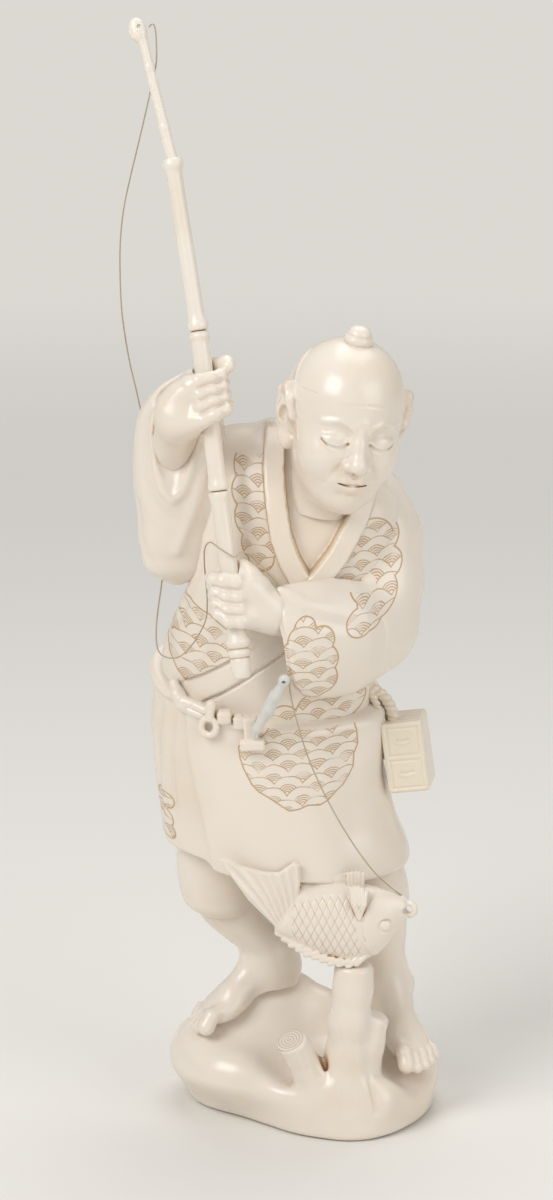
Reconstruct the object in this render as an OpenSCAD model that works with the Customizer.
/* [Rock] */
// Width of the rock, left to right
rock_w = 72; // [66:1:80]
// Depth of the rock, front to back
rock_d = 57; // [52:1:64]
// Height of the rock's broad top above the table
rock_h = 20.5; // [19:0.5:22]
// Height of the stump's sawn top above the table
stump_h = 48.5; // [44:0.5:50]
// Width of the stump at its top
stump_w = 11; // [9:0.5:13]

/* [Legs] */
// Length of each foot
foot_l = 29; // [26:0.5:32]
// Width of each foot at the ball
foot_w = 11.5; // [10:0.5:13]
// Thickness of each ankle
ankle_w = 12.4; // [11:0.2:13.4]
// Width of each legging at its widest
legging_w = 25; // [22:0.5:26]

/* [Robe] */
// Height of the hem above the table
hem_z = 75.5; // [74:0.5:80]
// Width of the hem
hem_w = 66; // [62:1:70]
// Depth of the hem, front to back
hem_d = 43; // [40:0.5:45]
// Height from the hem to the waist seam
skirt_h = 45.5; // [42:0.5:50]
// Width of the skirt at the waist
waist_w = 63; // [60:0.5:66]
// Depth of the skirt at the waist
waist_d = 43; // [41:0.5:46]
// Thickness of the rolled lip at the waist
lip_t = 1.6; // [1.2:0.1:2.2]
// Depth of the hollow under the skirt
hem_hollow = 7; // [5:0.5:9]
// Height from the waist seam to the top of the back
torso_h = 65; // [62:0.5:68]
// Width of the chest
chest_w = 56; // [52:1:60]
// Depth of the chest
chest_d = 38; // [35:0.5:40]
// Height of the hanging sleeve at the raised arm
hanging_sleeve_h = 50; // [44:1:54]
// Thickness of the hanging sleeve, front to back
hanging_sleeve_t = 24; // [21:0.5:26]
// Height of the cuff of the bent arm
cuff_h = 30.4; // [29.6:0.2:32]

/* [Head] */
// Width of the head without its ears
head_w = 30.6; // [28:0.2:33]
// Depth of the head, brow to back
head_d = 36; // [33:0.5:38]
// Height of the head, chin to crown
head_h = 45; // [42:0.5:48]
// Diameter of the neck where it plugs into the robe
neck_d = 18; // [16:0.5:20]
// Diameter of the topknot plug
topknot_d = 7.6; // [6:0.2:9]

/* [Hands] */
// Height of a closed fist along the rod
fist_h = 16.4; // [15:0.2:17.6]
// Width of a closed fist across the rod
fist_w = 17; // [15.5:0.5:18.5]
// Diameter of each wrist
wrist_d = 10; // [9:0.2:10.4]

/* [Rod] */
// Diameter of the rod between its bamboo nodes
rod_d = 5; // [4.4:0.1:5.6]
// Diameter of the thin tip section
tip_d = 2.7; // [2.3:0.1:3.2]
// Length of the tip section from its socket to the knob's top
tip_l = 36.9; // [30:0.5:40]
// Length of the section above the hands
upper_rod_l = 45.4; // [40:0.2:50]
// Distance from the lower fist's middle to the upper fist's middle
grip_spread = 50.8; // [48:0.2:54]
// How far a bamboo node stands out from the rod, radially
node_rise = 0.45; // [0.3:0.05:0.7]
// Length of rod below the lower fist's middle
butt_l = 22; // [20:0.5:26]

/* [Fish, box and belt] */
// Length of the carp's body from mouth to tail root
carp_l = 35; // [32:0.5:37]
// Depth of the carp's body, ridge to belly
carp_h = 22; // [20:0.2:22.4]
// Thickness of the carp's body
carp_t = 11.6; // [10:0.2:12.6]
// Width of the tackle box's front
box_w = 11.3; // [10:0.1:12.5]
// Height of the tackle box
box_h = 19.6; // [18:0.2:21]
// Depth of the tackle box, front to back
box_d = 14; // [12:0.5:16]
// Length of the peg in the pouch
peg_l = 20.6; // [18:0.2:23]

/* [Dowels and fits] */
// Diameter of the large dowels, at the waist and neck
large_dowel_d = 5; // [4:0.2:6]
// Diameter of the small dowels, at the limbs
small_dowel_d = 3; // [2.4:0.1:3.6]
// Gap all round a dowel or plug in its hole
fit = 0.05; // [0.03:0.01:0.1]
// Gap all round the rod in the bore of a fist
rod_fit = 0.06; // [0.04:0.01:0.1]
// Diameter of the fishing line
line_d = 0.4; // [0.35:0.05:0.5]

/* [Hidden] */
$fn = 32;

ivory = "#DFD3C0";
pale_ivory = "#E8E2D8";
warm_ivory = "#E3DAC2";
peg_grey = "#CBCFD2";
line_brown = "#8F8678";
sides = 24;
grain_turn = 7;
spare = 60;

// A plane is a place and a tilt: [pitch, roll], as rotate([pitch, roll, 0]) turns the XY plane
function along(t) = [sin(t[0]) * sin(t[1]), cos(t[0]), sin(t[0]) * cos(t[1])];
function across(t) = [cos(t[1]), 0, -sin(t[1])];
function up_from(t) = [cos(t[0]) * sin(t[1]), -sin(t[0]), cos(t[0]) * cos(t[1])];
function aim(v) = [-asin(v[1] / norm(v)), atan2(v[0], v[2])];
function height_at(x, y, place, t) =
  place[2] - tan(t[1]) * (x - place[0]) + tan(t[0]) / cos(t[1]) * (y - place[1]);

// A station is [x, y, z, half width, half depth, pitch, roll]
function place_of(s) = [s[0], s[1], s[2]];
function tilt_of(s) = [s[5], s[6]];
function between(a, b, c, d, t) =
  0.5 * (2 * b + (c - a) * t + (2 * a - 5 * b + 4 * c - d) * t * t + (3 * b - a - 3 * c + d) * t * t * t);
function eased(list, steps) = [
  for (i = [0:len(list) - 2])
    for (k = [0:steps - 1])
      between(list[max(i - 1, 0)], list[i], list[i + 1], list[min(i + 2, len(list) - 1)], k / steps),
  list[len(list) - 1]
];
function ring_of(s, count) = [
  for (k = [0:count - 1])
    place_of(s) + s[3] * cos(360 * k / count) * across(tilt_of(s))
      + s[4] * sin(360 * k / count) * along(tilt_of(s))
];

module skin(rings) {
  count = len(rings[0]);
  last = len(rings) - 1;
  walls = [
    for (i = [0:last - 1])
      for (k = [0:count - 1])
        each [
          [i * count + k, (i + 1) * count + k, (i + 1) * count + (k + 1) % count],
          [i * count + k, (i + 1) * count + (k + 1) % count, i * count + (k + 1) % count]
        ]
  ];
  foot = [[for (k = [0:count - 1]) k]];
  top = [[for (k = [count - 1:-1:0]) last * count + k]];
  polyhedron([for (r = rings) each r], concat(walls, foot, top), convexity = 6);
}

module column(stations, steps = 2, count = sides) {
  skin([for (s = eased(stations, steps)) ring_of(s, count)]);
}

module on_plane(place, t) {
  translate(place) rotate([t[0], t[1], 0]) children();
}

// A dowel lies centred on its seam, square to it, with its grain turned off the seam's own lines
module dowel(place, t, d, l) {
  color(ivory) on_plane(place, t) rotate([0, 0, grain_turn]) cylinder(d = d, h = l, center = true);
}

module dowel_hole(place, t, d, l) {
  on_plane(place, t) rotate([0, 0, grain_turn])
    cylinder(d = d + 2 * fit, h = l + 2 * fit, center = true);
}

// Rock
rock_turn = 30;
rock_foot = [35, 36, 31, 28, 30, 35, 30.5, 22, 21, 26, 33, 34];
rock_brow = [37, 36.5, 31.5, 28.5, 31, 38, 37, 32, 25, 26.5, 32, 36.5];
// Levels of the rock's skin: [share of the height there, share of the radius there]
rock_levels = [
  [0, 0.97], [0.12, 0.985], [0.36, 1], [0.6, 1], [0.8, 0.965], [0.94, 0.88], [1, 0.76], [1, 0.55], [1, 0.3], [1, 0.04]
];
// Swells and dips of the rock's top: [x, y, height, reach in x, reach in y]
rock_swells = [
  [-32, -2, 2.5, 8, 9], [-17, 3, 9, 12, 9], [-5, 6, 11, 9, 9], [29, -15, -8.5, 11, 10],
  [-2, -18, -7, 9, 8], [18, 4, 3, 12, 8], [2, 22, -6, 22, 8], [34, 10, -5, 8, 9]
];
function sum(list, i = 0) = i < len(list) ? list[i] + sum(list, i + 1) : 0;
function rock_top(x, y) = rock_h
  + sum([for (m = rock_swells) m[2] * exp(-pow((x - m[0]) / m[3], 2) - pow((y - m[1]) / m[4], 2))]);
rock_center_x = 1;
function rock_radius(list, a) =
  let (i = floor(a / rock_turn), n = len(list))
  between(list[(i + n - 1) % n], list[i % n], list[(i + 1) % n], list[(i + 2) % n], a / rock_turn - i);
function rock_ring(level) = [
  for (k = [0:2 * sides - 1])
    let (
      a = 180 * k / sides,
      lean = min(1, 2 * level[0]),
      r = level[1] * ((1 - lean) * rock_radius(rock_foot, a) + lean * rock_radius(rock_brow, a)),
      x = rock_center_x + r * cos(a) * rock_w / 72,
      y = r * sin(a) * rock_d / 57
    )
    [x, y, level[0] * (level[1] > 0.1 ? rock_top(x, y) : rock_top(rock_center_x, 0))]
];
stump = [13.5, -21, stump_h];

// Soles: the middle of each sole, with the turn of the foot seen from above and the slope to its toes
right_sole = [-14.5, 3, 31];
right_turn = -154;
right_slope = 26;
left_sole = [27.4, -3.5, 20.4];
left_turn = -59;
left_slope = 27;
// The sole of a foot faces a plane that drops toward the toes along its turn
function sole_tilt(turn, slope) =
  aim([sin(slope) * cos(turn), sin(slope) * sin(turn), cos(slope)]);
right_sole_tilt = sole_tilt(right_turn, right_slope);
left_sole_tilt = sole_tilt(left_turn, left_slope);
sole_pad = 16;

// Robe planes
hem = [-4.2, 0, hem_z];
hem_tilt = [10, 4];
waist = [-9, 0, hem_z + skirt_h];
waist_tilt = [18, 8];
lip_h = 2.6;
hem_wall = 2.6;
ceiling = hem + hem_hollow * up_from(hem_tilt);
back_top = [-3, 0, waist[2] + torso_h];
lap_y = -19;
shoulder_x = 20;
armhole_x = -21;
armhole_z = waist[2] + 30;

skirt_stations = [
  [hem[0], hem[1], hem[2], hem_w / 2, hem_d / 2, hem_tilt[0], hem_tilt[1]],
  [-6.4, 0, hem_z + 0.25 * skirt_h, (hem_w + waist_w) / 4 + 0.4, (hem_d + waist_d) / 4, 11, 5],
  [-8, 0, hem_z + 0.6 * skirt_h, waist_w / 2 + 0.5, waist_d / 2, 14, 6],
  [waist[0], waist[1], waist[2], waist_w / 2, waist_d / 2, waist_tilt[0], waist_tilt[1]]
];
body_w = waist_w / 2 - lip_t;
body_d = waist_d / 2 - lip_t;
torso_stations = [
  [waist[0], waist[1], waist[2], body_w, body_d, waist_tilt[0], waist_tilt[1]],
  [-8.6, 0, waist[2] + 5, body_w, body_d, 15, 7],
  [-5, -1, waist[2] + 21, chest_w / 2 - 1, chest_d / 2, 6, 4],
  [0, -2, waist[2] + 35, chest_w / 2, chest_d / 2 + 0.5, 2, 6],
  [0, -1, waist[2] + 47, chest_w / 2, chest_d / 2 - 0.5, 0, 10],
  [-2, 0, waist[2] + 57, chest_w / 2 - 5, chest_d / 2 - 3, 5, 15],
  [back_top[0], back_top[1], back_top[2], 14, 10, 8, 18]
];
hanging_sleeve_z = waist[2] + 56;
function hanging(x, y, z, share, thick) =
  [x, y, hanging_sleeve_z + z, share * hanging_sleeve_h / 2, thick * hanging_sleeve_t / 2, 0, -90];
hanging_stations = [
  hanging(-10, 2, -5, 0.62, 0.9),
  hanging(-20, 2, -4, 0.72, 1),
  hanging(-29, 1, -2, 0.9, 1.02),
  hanging(-36, 0, 0, 1, 0.95),
  hanging(-41, -1, 0.5, 0.86, 0.72),
  hanging(-44.2, -2, 0, 0.5, 0.34)
];
upper_arm_stations = [
  [18.4, -11, waist[2] + 3, 4.6, 6, 0, 0],
  [18.6, -10, waist[2] + 8, 8.8, 9.6, 0, 0],
  [19, -8, waist[2] + 17, 11.2, 11.6, 0, 0],
  [20.4, -4, waist[2] + 30, 11.6, 11.6, 0, 0],
  [20.6, -1, waist[2] + 42, 11.2, 11.2, 0, 4],
  [18.6, 0, waist[2] + 51, 9.6, 9.8, 0, 10],
  [17.6, 0, waist[2] + 57, 5.4, 6, 0, 16]
];
forearm_z = waist[2] + 14;
cuff_x = -3;
function forearm(x, y, z, share, deep) = [x, y, forearm_z + z, share * cuff_h / 2, deep, 0, -90];
forearm_stations = [
  forearm(25, -7, 2, 0.72, 7),
  forearm(18.6, -14.5, 2, 0.88, 9.6),
  forearm(11, -21, 1.6, 1, 8.8),
  forearm(3, -24.2, 1, 1.05, 7.8),
  forearm(cuff_x, -24.6, 3, 1, 7.4)
];

// Head and neck
head_center = [10.9, -16, waist[2] + 76.5];
head_nod = 9;
head_roll = 10;
head_yaw = 15;
neck_seat = [2, -6.5, waist[2] + 45];
neck_tilt = aim(head_center - neck_seat);
head_stations = [
  [0, -0.31 * head_d, -head_h / 2, 4, 3, 0, 0],
  [0, -0.26 * head_d, -0.45 * head_h, 0.29 * head_w, 0.22 * head_d, 0, 0],
  [0, -0.14 * head_d, -0.3 * head_h, 0.42 * head_w, 0.37 * head_d, 0, 0],
  [0, -0.04 * head_d, -0.08 * head_h, 0.475 * head_w, 0.46 * head_d, 0, 0],
  [0, 0, 0.11 * head_h, head_w / 2, head_d / 2, 0, 0],
  [0, 0.02 * head_d, 0.29 * head_h, 0.47 * head_w, 0.47 * head_d, 0, 0],
  [0, 0.03 * head_d, 0.42 * head_h, 0.33 * head_w, 0.35 * head_d, 0, 0],
  [0, 0.03 * head_d, head_h / 2, 2.5, 3, 0, 0]
];
topknot_seat = 0.455 * head_h;
topknot_l = 7.2;
topknot_rise = 3.6;

// The rod's straight lower part, from the middle of the lower fist
grip = [-18.6, -28, waist[2] + 31.7];
rod_tilt = [-11.4, -7.3];
upper_grip = grip + grip_spread * up_from(rod_tilt);
half_fist = fist_h / 2;
middle_node = 0.54 * grip_spread;
rod_joint = grip_spread + half_fist + 10.5;
butt_node = -half_fist - 3.6;
upper_bend = -1.7;
tip_bend = -5;
spigot_d = 2.4;
spigot_l = 6;
tip_spigot_d = 2;
knob_d = 4.8;
eye_d = 1.4;
node_half = 2.2;

// Arms end in pockets, with the wrist on the pocket's floor
right_floor = [-36.5, 0, waist[2] + 58];
right_reach = aim(upper_grip - right_floor);
left_floor = [4, -24.4, waist[2] + 21];
left_reach = aim(grip - left_floor);
pocket_gap = 1.2;
finger_count = 4;

// Fish, box and belt
carp_y = stump[1];
carp_x = stump[0] + 14.3;
carp_mid = stump_h + carp_h / 2 - 0.3;
function carp(share, z, tall, thick, y) =
  [carp_x - share * carp_l, carp_y + y, carp_mid + z, tall * carp_h / 2, thick * carp_t / 2, 0, -90];
carp_stations = [
  carp(0, 4.8, 0.24, 0.34, 0),
  carp(0.06, 4, 0.46, 0.56, 0),
  carp(0.2, 1.4, 0.86, 0.9, 0),
  carp(0.42, 0, 1, 1, 0),
  carp(0.66, 0.6, 0.9, 0.88, -0.6),
  carp(0.86, 2.2, 0.66, 0.56, -1.8),
  carp(1, 2, 0.34, 0.32, -3)
];
tail_t = 2.4;
tail_outline = [
  [1.3, -2.1], [-1.4, 0.7], [-7.2, 6.8], [-11.4, 13], [-15.1, 18.6], [-12.5, 18.6],
  [-8.8, 16.9], [-2.9, 15.2], [0.8, 14.9], [4.5, 17.5], [6.4, 17], [5.8, 10], [4.2, 1]
];
box_corner = [waist[0] + 0.47 * waist_w, -11, hem_z + 37];
box_yaw = -9;
box_lean = -8;
belt_z = waist[2] - 5;
peg_foot = [-13.2, -25.6, belt_z - 2.4];
peg_tilt = aim([8.3, -7.4, 17.5]);

// The line's free stretches, as it lies: from the tip's eye to the cuff, and from the cuff to the mouth
line_sides = 8;
hanging_route = [
  [-40.1, 1.5, 297.4], [-39.2, 1.3, 298.2], [-38.5, 1.1, 297], [-38.2, 1, 293], [-38.3, 1.2, 288],
  [-39.4, 1.8, 283], [-41, 2.2, 276], [-43.2, 3, 267], [-45.6, 3.8, 257.4], [-47.4, 4.8, 249],
  [-48.4, 6.2, 240], [-48.6, 8.4, 231], [-48.4, 10.6, 222], [-47.6, 12.6, 214], [-46.4, 14.6, 206],
  [-44.8, 16, 198.4], [-43.2, 17, 190], [-41.6, 17.4, 181], [-40, 16.6, 171], [-38.8, 13.6, 162.4],
  [-38, 8, 155], [-37.8, 2, 150.4], [-38.3, -3, 146.4], [-38.9, -8, 142], [-39.1, -12, 138.2],
  [-38.7, -15.4, 135.2], [-37.4, -17.6, 133.7], [-35.2, -19.2, 133.3], [-32.8, -20.6, 134],
  [-30, -21, 136.6], [-27.4, -20.8, 140.4], [-25.6, -20.2, 144.4], [-25.3, -19.9, 149.4],
  [-25.6, -20, 154.6], [-26, -20.8, 159.6], [-25.8, -23, 164], [-24.4, -25.8, 166.4],
  [-22.4, -28.5, 165.8], [-20, -29.5, 164.4], [-17.9, -29.1, 163.2], [-16, -28.2, 164.4],
  [-13.6, -28.6, 163.6], [-11.2, -29, 161.2], [-8.4, -28.2, 157.8], [-5.6, -26.8, 154.4],
  [-3, -25.4, 152.4]
];
lower_route = [
  [-3, -28.2, 131], [-3.6, -29.4, 129], [-3, -29.4, 124.5], [-1.2, -28.4, 117], [1.4, -26.6, 108],
  [4.6, -25.4, 100], [8, -25, 93], [11.6, -25, 86.6], [15.4, -25, 80.6], [19.4, -24.6, 75.2],
  [23.4, -23.4, 71], [26.6, -21.8, 68]
];

module rock_base() {
  color(ivory) difference() {
    union() {
      skin([for (level = rock_levels) rock_ring(level)]);
      ridge();
      stump_column();
      cut_branch();
      stub_branch();
    }
    sole_block(right_sole, right_sole_tilt, right_turn, foot_w / 2 + 2);
    sole_block(left_sole, left_sole_tilt, left_turn, 2 * foot_w);
    dowel_hole(right_sole, right_sole_tilt, small_dowel_d, foot_dowel_l);
    dowel_hole(left_sole, left_sole_tilt, small_dowel_d, foot_dowel_l);
    dowel_hole(stump, [0, 0], small_dowel_d, fish_dowel_l);
  }
}

// The space over a sole, as wide as the foot needs, and open on its outer side
module sole_block(place, t, turn, outer) {
  on_plane(place, t) rotate([0, 0, turn]) translate([-sole_pad, -foot_w / 2 - 2, 0])
    cube([2 * sole_pad, foot_w / 2 + 2 + outer, spare]);
}

module ridge() {
  column([
    [-20, 5, 20, 6, 7, 0, 90], [-12, 7.4, 25, 9, 9, 0, 90], [-3, 8, 27.6, 7.4, 7.4, 0, 90],
    [5, 5.4, 24.6, 6.6, 6.6, 0, 90], [12, 3.4, 20.6, 6, 6.4, 0, 90], [19, 2, 16.6, 5, 6, 0, 90]
  ]);
}

module stump_column() {
  foot = stump_w / 2 + 2.6;
  column([
    [stump[0] - 0.5, stump[1] + 1.5, 2, foot, foot, 0, 0],
    [stump[0] - 0.8, stump[1] + 1, 0.2 * stump_h, foot - 0.8, foot - 1, 0, 0],
    [stump[0] - 1.2, stump[1], 0.55 * stump_h, stump_w / 2 + 0.8, stump_w / 2, 0, 0],
    [stump[0], stump[1], 0.88 * stump_h, stump_w / 2 - 0.4, stump_w / 2 - 0.6, 0, 0],
    [stump[0], stump[1], stump_h, stump_w / 2, stump_w / 2 - 0.2, 0, 0]
  ]);
}

module cut_branch() {
  column([
    [6, -20, 8, 5, 5, 14, -24], [2, -22.4, 18, 4.6, 4.4, 14, -24], [-1, -24, 26, 4.4, 4.2, 20, -14]
  ]);
}

module stub_branch() {
  column([
    [15, -20, 20, 4.6, 4.6, 6, 32], [19, -19, 27, 3.8, 3.8, 6, 22], [21, -18.6, 32.4, 3, 3, 6, 8]
  ]);
}

foot_dowel_l = 14;
fish_dowel_l = 10;
hip_dowel_l = 12;
waist_dowel_l = 20;
neck_dowel_l = 12;
arm_dowel_l = 14;
wrist_dowel_l = 9;
box_dowel_l = 8;
right_hip = [-20.2, 1, height_at(-20.2, 1, ceiling, hem_tilt)];
left_hip = [11.4, 1, height_at(11.4, 1, ceiling, hem_tilt)];

module foot_form(place, t, turn) {
  half = foot_l / 2;
  on_plane(place, t) intersection() {
    rotate([0, 0, turn]) column([
      [-half, 0, 4, 4, 3, 0, 90], [-half + 2, 0, 4, 7, 0.42 * foot_w, 0, 90],
      [-half / 2, 0, 3, 8, 0.45 * foot_w, 0, 90], [half / 4, 0, 1, 5.6, 0.46 * foot_w, 0, 90],
      [0.7 * half, 0, 0, 3.8, foot_w / 2, 0, 90], [half, 0, 0, 2.2, 0.34 * foot_w, 0, 90]
    ]);
    translate([-spare, -spare, 0]) cube(2 * spare);
  }
}

module leg(hip, knee, shin, ankle, sole, sole_t, turn) {
  difference() {
    union() {
      intersection() {
        column([
          [ankle[0] + 1, ankle[1] + 1, ankle[2] - 8, ankle_w / 2 - 0.6, ankle_w / 2, 0, 0],
          [ankle[0], ankle[1], ankle[2], ankle_w / 2, ankle_w / 2 + 0.8, 0, 0],
          [shin[0], shin[1], shin[2], ankle_w / 2 + 2.4, ankle_w / 2 + 2.2, 0, 0],
          [shin[0], shin[1], shin[2] + 2, legging_w / 2 - 2.8, legging_w / 2 - 2.8, 0, 0],
          [knee[0], knee[1], knee[2], legging_w / 2, legging_w / 2 - 0.4, 0, 0],
          [hip[0], hip[1], hip[2], legging_w / 2 - 1, legging_w / 2 - 1, hem_tilt[0], hem_tilt[1]]
        ]);
        on_plane(sole, sole_t) translate([-spare, -spare, 0]) cube(2 * spare);
      }
      foot_form(sole, sole_t, turn);
    }
    dowel_hole(sole, sole_t, small_dowel_d, foot_dowel_l);
    dowel_hole(hip, hem_tilt, small_dowel_d, hip_dowel_l);
  }
}

module right_leg() {
  color(ivory) leg(right_hip, [-22, 1.5, 67], [-18.8, 1.5, 55], [-10.4, 4, 43], right_sole,
    right_sole_tilt, right_turn);
}

module left_leg() {
  color(ivory) leg(left_hip, [15.4, 2, 66], [20.4, 2.5, 54], [22.8, 4, 38], left_sole,
    left_sole_tilt, left_turn);
}

// The skirt with its rolled lip, before it is hollowed
module skirt_form() {
  skin(concat(
    [for (s = eased(skirt_stations, 3)) ring_of(s, 2 * sides)],
    [
      rim(waist_w / 2 + 0.7, waist_d / 2 + 0.7, 0.9),
      rim(waist_w / 2 + 0.5, waist_d / 2 + 0.5, lip_h - 0.7),
      rim(waist_w / 2 - 0.4, waist_d / 2 - 0.4, lip_h)
    ]
  ));
}

module lower_robe() {
  color(ivory) difference() {
    skirt_form();
    lip_socket();
    hem_space();
    box_block(0);
    dowel_hole(right_hip, hem_tilt, small_dowel_d, hip_dowel_l);
    dowel_hole(left_hip, hem_tilt, small_dowel_d, hip_dowel_l);
    dowel_hole(waist, waist_tilt, large_dowel_d, waist_dowel_l);
    dowel_hole(box_side, box_side_tilt, small_dowel_d, box_dowel_l);
  }
}

function rim(w, d, z) = ring_of(concat(waist + z * up_from(waist_tilt), [w, d], waist_tilt), 2 * sides);

// The lip stands round the foot of the upper robe, and its inside is the upper robe's own outline
module lip_socket() {
  skin([for (z = [0, lip_h + 1]) rim(body_w + fit, body_d + fit, z)]);
}

// The hollow follows the skirt's own stations, so that its wall keeps one thickness
module hem_space() {
  inner = [hem_w / 2 - hem_wall, hem_d / 2 - hem_wall];
  share = hem_hollow / (skirt_stations[1][2] - hem_z);
  over = (1 - share) * skirt_stations[0] + share * skirt_stations[1];
  top = [over[0], over[1], height_at(over[0], over[1], ceiling, hem_tilt)];
  skin([
    ring_of(concat(hem - 2 * up_from(hem_tilt), inner, hem_tilt), 2 * sides - 6),
    ring_of(concat(hem, inner, hem_tilt), 2 * sides - 6),
    ring_of(concat(top, [over[3] - hem_wall, over[4] - hem_wall], hem_tilt), 2 * sides - 6)
  ]);
}

module torso_form() {
  column(torso_stations, 3, 2 * sides);
}

module upper_robe() {
  color(ivory) difference() {
    torso_form();
    lap_block();
    translate([armhole_x - spare, -spare, armhole_z]) cube([spare, 2 * spare, spare]);
    lip_relief();
    on_plane(neck_seat, neck_tilt) cylinder(d = neck_d + 2 * fit, h = spare);
    dowel_hole(waist, waist_tilt, large_dowel_d, waist_dowel_l);
    dowel_hole(neck_seat, neck_tilt, large_dowel_d, neck_dowel_l);
    dowel_hole(right_arm, right_arm_tilt, small_dowel_d, arm_dowel_l);
    dowel_hole(left_arm, left_arm_tilt, small_dowel_d, arm_dowel_l);
  }
}

// Keeps the foot of the upper robe inside the lip
module lip_relief() {
  difference() {
    skin([for (z = [-1, lip_h + 0.1]) rim(body_w + 8, body_d + 8, z)]);
    skin([for (z = [-2, lip_h + 1]) rim(body_w, body_d, z)]);
  }
}

// Everything in front of the lap plane or beyond the shoulder plane belongs to the bent arm
module lap_block() {
  translate([-spare, lap_y - spare, waist[2] - 12]) cube([2 * spare, spare, 2 * spare]);
  translate([shoulder_x, -spare, waist[2] - 12]) cube([spare, 2 * spare, 2 * spare]);
}

right_arm = [armhole_x, 2, hanging_sleeve_z - 5];
right_arm_tilt = [0, -90];
left_arm = [shoulder_x, -1, waist[2] + 34];
left_arm_tilt = [0, 90];

module right_sleeve() {
  color(ivory) difference() {
    column(hanging_stations, 2);
    translate([armhole_x, -spare, -spare]) cube([spare, 2 * spare, 6 * spare]);
    translate([-spare - 20, -spare, armhole_z - spare]) cube([2 * spare, 2 * spare, spare]);
    on_plane(right_floor, right_reach)
      cylinder(d1 = wrist_d + 2 * pocket_gap, d2 = fist_w + 12, h = norm(upper_grip - right_floor));
    dowel_hole(right_arm, right_arm_tilt, small_dowel_d, arm_dowel_l);
    dowel_hole(right_floor, right_reach, small_dowel_d, wrist_dowel_l);
  }
}

module left_sleeve() {
  color(ivory) difference() {
    union() {
      intersection() {
        column(upper_arm_stations);
        translate([shoulder_x, -spare, 0]) cube([spare, 2 * spare, 4 * spare]);
      }
      difference() {
        column(forearm_stations);
        translate([shoulder_x - 2 * spare, lap_y, 0]) cube([2 * spare, spare, 4 * spare]);
      }
    }
    on_plane(left_floor, left_reach) cylinder(d = wrist_d + 2 * pocket_gap, h = spare);
    lip_room();
    dowel_hole(left_arm, left_arm_tilt, small_dowel_d, arm_dowel_l);
    dowel_hole(left_floor, left_reach, small_dowel_d, wrist_dowel_l);
  }
}

// Room for the waist's lip and the skirt under the bent arm
module lip_room() {
  skin([for (z = [-30, lip_h + 0.3]) rim(waist_w / 2 + 1.1, waist_d / 2 + 1.1, z)]);
}

// Fists: rings along the rod, with one swell for each finger on the side away from the wrist
function fist_ring(share, wrist_side) =
  let (
    z = share * half_fist,
    edge = sqrt(max(0.16, 1 - pow(abs(share), 3))),
    swell = 0.55 * abs(sin(finger_count * 90 * (share + 1)))
  )
  [
    for (k = [0:2 * sides - 1])
      let (
        a = 180 * k / sides,
        finger = max(0, -cos(a - wrist_side)),
        r = edge * (fist_w / 2 - 1 + 1.1 * cos(a - wrist_side)) + finger * swell
      )
      [r * cos(a), r * sin(a), z]
  ];

module fist(wrist_side) {
  skin([for (i = [-8:8]) fist_ring(i / 8, wrist_side)]);
}

module wrist(from, reach, l) {
  on_plane(from, reach) column([
    [0, 0, 0, wrist_d / 2, wrist_d / 2, 0, 0], [0, 0, 0.5 * l, wrist_d / 2 - 0.6, wrist_d / 2 - 0.6, 0, 0],
    [0, 0, l, wrist_d / 2 + 0.6, wrist_d / 2, 0, 0]
  ], 2, sides);
}

module hand(from, reach, center, wrist_side) {
  difference() {
    union() {
      on_plane(center, rod_tilt) fist(wrist_side);
      wrist(from, reach, norm(center - from) - rod_d / 2 - 2);
    }
    on_plane(center, rod_tilt) cylinder(d = rod_d + 2 * rod_fit, h = 2 * fist_h, center = true);
    dowel_hole(from, reach, small_dowel_d, wrist_dowel_l);
  }
}

module right_hand() {
  color(ivory) hand(right_floor, right_reach, upper_grip, 125);
}

module left_hand() {
  color(ivory) hand(left_floor, left_reach, grip, 10);
}

module in_head() {
  translate(head_center) rotate([head_nod, head_roll, 0]) rotate([0, 0, head_yaw]) children();
}

module ear(side) {
  translate([side * (head_w / 2 - 0.6), 0.04 * head_d, 0]) rotate([0, 0, side * 14]) column([
    [0, -1, -6.4, 1, 1.4, 0, 0], [side * 0.6, -0.4, -3, 1.5, 2.6, 0, 0], [side, 0.2, 2, 1.7, 3.6, 0, 0],
    [side * 0.7, 0, 5, 1.3, 3, 0, 0], [0, -0.6, 7, 0.8, 1.4, 0, 0]
  ], 2, 12);
}

module nose() {
  column([
    [0, -0.42 * head_d, -0.16 * head_h, 3, 3.4, 0, 0], [0, -0.44 * head_d, -0.12 * head_h, 3, 3.6, 0, 0],
    [0, -0.44 * head_d, 0.02 * head_h, 1.4, 2.4, 0, 0]
  ], 2, 12);
}

module head() {
  color(ivory) difference() {
    union() {
      in_head() {
        column(head_stations, 2, sides + 4);
        nose();
        ear(-1);
        ear(1);
      }
      on_plane(neck_seat, neck_tilt) cylinder(d = neck_d, h = norm(head_center - neck_seat) - 0.28 * head_h);
    }
    in_head() translate([0, 1, topknot_seat - topknot_l + topknot_rise])
      cylinder(d = 0.6 * topknot_d + 2 * fit, h = spare);
    in_head() translate([0, 1, topknot_seat]) cylinder(d = 1.6 * topknot_d, h = spare);
    dowel_hole(neck_seat, neck_tilt, large_dowel_d, neck_dowel_l);
  }
}

module topknot_plug() {
  stem = topknot_l - topknot_rise;
  color(pale_ivory) in_head() translate([0, 1, topknot_seat]) rotate_extrude() polygon([
    [0, -stem], [0.3 * topknot_d, -stem], [0.3 * topknot_d, 0], [0.5 * topknot_d, 0],
    [0.5 * topknot_d, 0.6 * topknot_rise], [0.4 * topknot_d, 0.95 * topknot_rise], [0, 1.1 * topknot_rise]
  ]);
}

module at_grip() {
  on_plane(grip, rod_tilt) children();
}

module at_upper() {
  at_grip() translate([0, 0, rod_joint]) rotate([0, upper_bend, 0]) children();
}

module at_tip() {
  at_upper() translate([0, 0, upper_rod_l]) rotate([0, tip_bend, 0]) children();
}

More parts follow.
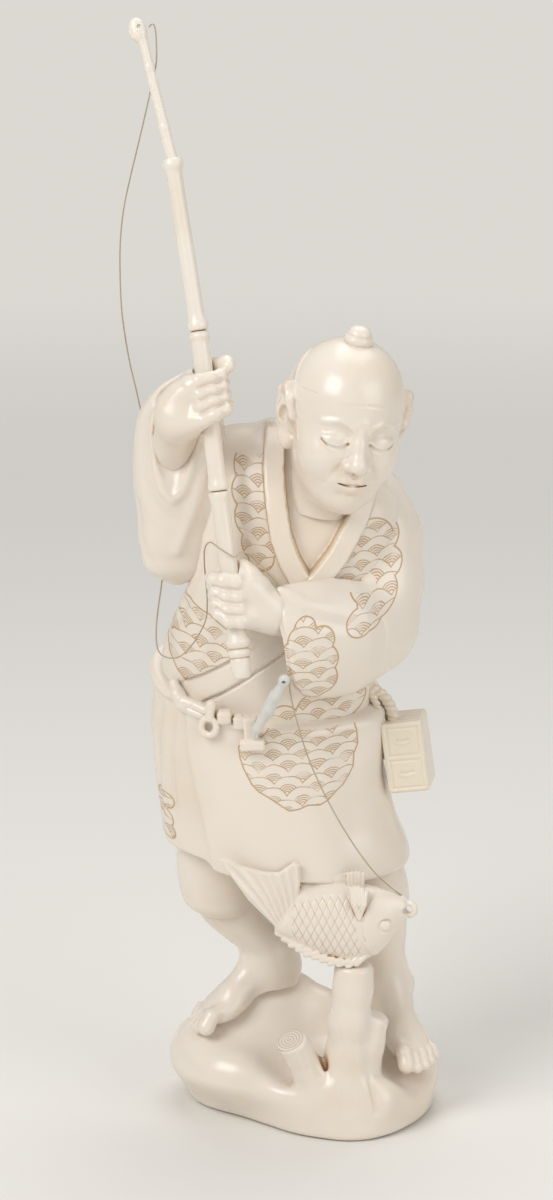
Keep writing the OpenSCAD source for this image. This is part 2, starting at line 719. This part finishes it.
// A rod section from z = 0 up, with a swelling at each height in swells
function rod_profile(l, r, swells, rise) = concat(
  [[0, 0]],
  [
    for (i = [0:40])
      let (z = l * i / 40, near = [for (s = swells) rise * max(0, 1 - pow((z - s) / node_half, 2))])
      [r + max(near), z]
  ],
  [[0, l]]
);

module spigot(d, l) {
  translate([0, 0, -0.01]) cylinder(d = d, h = l + 0.01);
}

module socket(d, l) {
  translate([0, 0, -0.01]) cylinder(d = d + 2 * fit, h = l + 2 * fit + 0.01);
}

module below() {
  translate([0, 0, -2 * rod_d]) cylinder(d = 6 * rod_d, h = 2 * rod_d);
}

module rod_lower() {
  color(pale_ivory) at_grip() {
    translate([0, 0, -butt_l]) rotate_extrude()
      polygon(rod_profile(butt_l + middle_node, rod_d / 2, [butt_l + butt_node, butt_l + middle_node], node_rise));
    translate([0, 0, middle_node]) spigot(spigot_d, spigot_l);
  }
}

module rod_grip() {
  l = rod_joint - middle_node;
  color(pale_ivory) at_grip() difference() {
    union() {
      translate([0, 0, middle_node]) rotate_extrude()
        polygon(rod_profile(l, rod_d / 2, [0, l], node_rise));
      translate([0, 0, rod_joint]) spigot(spigot_d, spigot_l);
    }
    translate([0, 0, middle_node]) socket(spigot_d, spigot_l);
  }
}

module rod_upper() {
  color(pale_ivory) difference() {
    at_upper() translate([0, 0, -1]) rotate_extrude()
      polygon(rod_profile(upper_rod_l + 1, rod_d / 2 - 0.15, [1, upper_rod_l + 1], node_rise));
    at_grip() translate([0, 0, rod_joint]) {
      below();
      socket(spigot_d, spigot_l);
    }
    at_tip() translate([0, 0, -spigot_l]) cylinder(d = tip_spigot_d + 2 * fit, h = 2 * spigot_l);
  }
}

module rod_tip() {
  shaft = tip_l - knob_d / 2;
  color(pale_ivory) difference() {
    union() {
      at_tip() translate([0, 0, -spigot_l + fit]) cylinder(d = tip_spigot_d, h = spigot_l + 2);
      difference() {
        at_tip() translate([0, 0, -1]) cylinder(d = tip_d, h = shaft + 1);
        at_upper() translate([0, 0, upper_rod_l]) below();
      }
      at_tip() translate([0, 0, shaft]) sphere(d = knob_d);
    }
    at_tip() translate([0, 0, shaft]) rotate([90, 0, 0]) cylinder(d = eye_d, h = 2 * knob_d, center = true);
  }
}

module mouth_ring() {
  translate([carp_x + 0.2, carp_y, carp_mid + 4.8]) rotate([90, 0, 0]) rotate_extrude() translate([1.7, 0])
    circle(d = 1.7, $fn = 24);
}

module fish() {
  color(ivory) difference() {
    union() {
      column(carp_stations, 3);
      translate([carp_x - carp_l, carp_y - 3 - tail_t / 2, carp_mid + 1.6]) rotate([90, 0, 0])
        linear_extrude(tail_t, center = true) polygon(tail_outline);
      mouth_ring();
    }
    translate([-spare, -spare, -spare]) cube([2 * spare, 2 * spare, spare + stump_h]);
    dowel_hole(stump, [0, 0], small_dowel_d, fish_dowel_l);
  }
}

module at_box() {
  translate(box_corner) rotate([0, box_lean, box_yaw]) children();
}

module box_block(grow) {
  at_box() translate([-grow, -grow, -box_h - grow])
    cube([box_w + 2 * grow, box_d + 2 * grow, box_h + 2 * grow]);
}

// A peg from the skirt's hip runs into the box's inner side
box_peg = [0, 0.68 * box_d, -0.55 * box_h];
function turned(v, yaw) = [v[0] * cos(yaw) - v[1] * sin(yaw), v[0] * sin(yaw) + v[1] * cos(yaw), v[2]];
box_side = box_corner
  + turned([box_peg[2] * sin(box_lean), box_peg[1], box_peg[2] * cos(box_lean)], box_yaw);
box_side_tilt = aim(turned([cos(box_lean), 0, -sin(box_lean)], box_yaw));

module tackle_box() {
  margin = 1.5;
  panel_w = box_w - 2 * margin;
  panel_h = (box_h - 3 * margin) / 2;
  color(warm_ivory) difference() {
    box_block(0);
    at_box() for (row = [1, 2])
      translate([margin, -0.01, -row * (panel_h + margin)]) drawer_groove(panel_w, panel_h);
    dowel_hole(box_side, box_side_tilt, small_dowel_d, box_dowel_l);
  }
}

module drawer_groove(w, h) {
  deep = 0.4;
  line = 0.6;
  pull = 2.8;
  difference() {
    cube([w, deep, h]);
    translate([line, -deep, line]) cube([w - 2 * line, 3 * deep, h - 2 * line]);
  }
  translate([(w - pull) / 2, 0, h / 2]) cube([pull, deep, line]);
}

module box_rope() {
  color(warm_ivory) difference() {
    at_box() column([
      [2.6, 5.6, -0.6, 1.3, 1.3, 0, 0], [2.2, 5, 3.4, 1.3, 1.3, -6, -14], [0.6, 4, 7, 1.3, 1.3, -10, -36],
      [-2, 3, 8.8, 1.3, 1.3, 0, -80]
    ], 3, 12);
    box_block(0);
    skirt_form();
    torso_form();
    column(upper_arm_stations);
  }
}

module belt_set() {
  color(ivory) difference() {
    union() {
      capsule([-30.4, -17.4, belt_z + 8.6], [-26, -20.2, belt_z + 4.6], 2.6);
      capsule([-27.4, -19.6, belt_z + 5], [-15, -23.6, belt_z + 0.4], 1.5);
      translate([-25.6, -21.2, belt_z + 2]) rotate([100, 0, 20]) rotate_extrude() translate([1.9, 0])
        circle(d = 1.5, $fn = 24);
      translate([-20.2, -22.6, belt_z + 2.4]) sphere(d = 4);
      capsule([-15.4, -24, belt_z + 2], [-15.2, -24.8, belt_z - 3.4], 3.4);
      capsule([-15.2, -24.8, belt_z - 3.6], [-11.6, -24.8, belt_z - 3.2], 2.8);
    }
    skirt_form();
    lip_room();
    on_plane(peg_foot, peg_tilt) cylinder(d1 = peg_tip_d + 2 * fit, d2 = peg_d + 2 * fit, h = peg_l / 2);
  }
}

peg_d = 3.2;
peg_tip_d = 1.2;

module capsule(from, to, d) {
  l = norm(to - from);
  on_plane(from, aim(to - from)) {
    cylinder(d = d, h = l);
    sphere(d = d);
    translate([0, 0, l]) sphere(d = d);
  }
}

module line_peg() {
  color(peg_grey) on_plane(peg_foot, peg_tilt) difference() {
    union() {
      cylinder(d1 = peg_tip_d, d2 = peg_d, h = peg_l / 2);
      translate([0, 0, peg_l / 2]) cylinder(d1 = peg_d, d2 = peg_d - 1, h = peg_l / 2);
      translate([0, 0, peg_l]) sphere(d = peg_d - 0.2);
    }
    translate([0, 0, peg_l]) rotate([90, 0, 0]) cylinder(d = 1, h = 2 * peg_d, center = true);
  }
}

// A tube swept along a route, with each ring square to the route there
module line_tube(route) {
  last = len(route) - 1;
  skin([
    for (i = [0:last])
      let (t = aim(route[min(i + 1, last)] - route[max(i - 1, 0)]))
      [
        for (k = [0:line_sides - 1])
          route[i] + line_d / 2 * (cos(360 * k / line_sides) * across(t) + sin(360 * k / line_sides) * along(t))
      ]
  ]);
}

module line_hanging() {
  color(line_brown) line_tube(hanging_route);
}

// The lower stretch leaves the cuff at its end face
module line_lower() {
  color(line_brown) difference() {
    line_tube(lower_route);
    translate([cuff_x, -spare, forearm_z - 8]) cube(spare);
  }
}

rock_base();
right_leg();
left_leg();
lower_robe();
upper_robe();
right_sleeve();
left_sleeve();
right_hand();
left_hand();
head();
topknot_plug();
rod_lower();
rod_grip();
rod_upper();
rod_tip();
fish();
tackle_box();
box_rope();
belt_set();
line_peg();
line_hanging();
line_lower();
dowel(right_sole, right_sole_tilt, small_dowel_d, foot_dowel_l);  // right_foot_dowel
dowel(left_sole, left_sole_tilt, small_dowel_d, foot_dowel_l);  // left_foot_dowel
dowel(right_hip, hem_tilt, small_dowel_d, hip_dowel_l);  // right_hip_dowel
dowel(left_hip, hem_tilt, small_dowel_d, hip_dowel_l);  // left_hip_dowel
dowel(waist, waist_tilt, large_dowel_d, waist_dowel_l);  // waist_dowel
dowel(neck_seat, neck_tilt, large_dowel_d, neck_dowel_l);  // neck_dowel
dowel(right_arm, right_arm_tilt, small_dowel_d, arm_dowel_l);  // right_arm_dowel
dowel(left_arm, left_arm_tilt, small_dowel_d, arm_dowel_l);  // left_arm_dowel
dowel(right_floor, right_reach, small_dowel_d, wrist_dowel_l);  // right_wrist_dowel
dowel(left_floor, left_reach, small_dowel_d, wrist_dowel_l);  // left_wrist_dowel
dowel(stump, [0, 0], small_dowel_d, fish_dowel_l);  // fish_dowel
dowel(box_side, box_side_tilt, small_dowel_d, box_dowel_l);  // box_dowel
